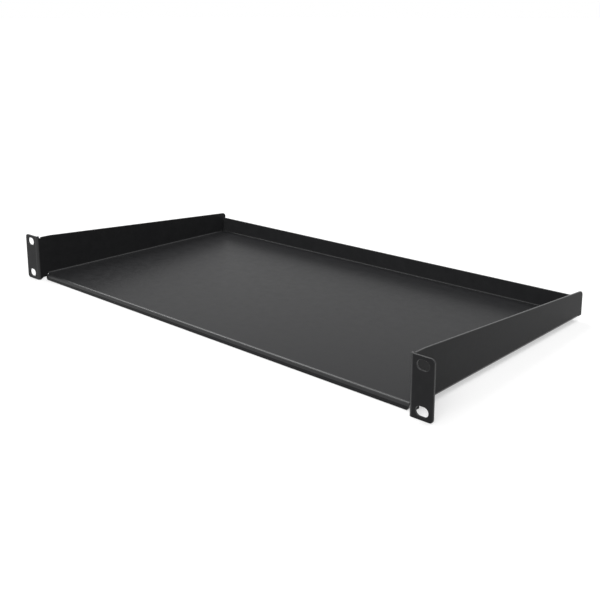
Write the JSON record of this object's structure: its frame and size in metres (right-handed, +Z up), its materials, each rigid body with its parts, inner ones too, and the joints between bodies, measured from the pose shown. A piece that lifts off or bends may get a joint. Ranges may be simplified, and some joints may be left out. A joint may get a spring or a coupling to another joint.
{
  "type": "cantilever rack shelf",
  "caption": "Shallow one-unit cantilever shelf for a 19-inch rack: a folded sheet tray with a front lip, rear flange, tapered side walls and slotted rack ears.",
  "frame": {"origin": "centre of the four rack slots, on the back faces of the ears, where they meet the rack's rails", "axes": "+X to the right seen from the front, +Y back into the rack, +Z up"},
  "size_m": [0.4826, 0.25, 0.044],
  "materials": {
    "black_powder_coat": "satin black powder coat on steel, fine texture"
  },
  "bodies": {
    "root": {"shelf_tray": "black_powder_coat"}
  },
  "joints": []
}
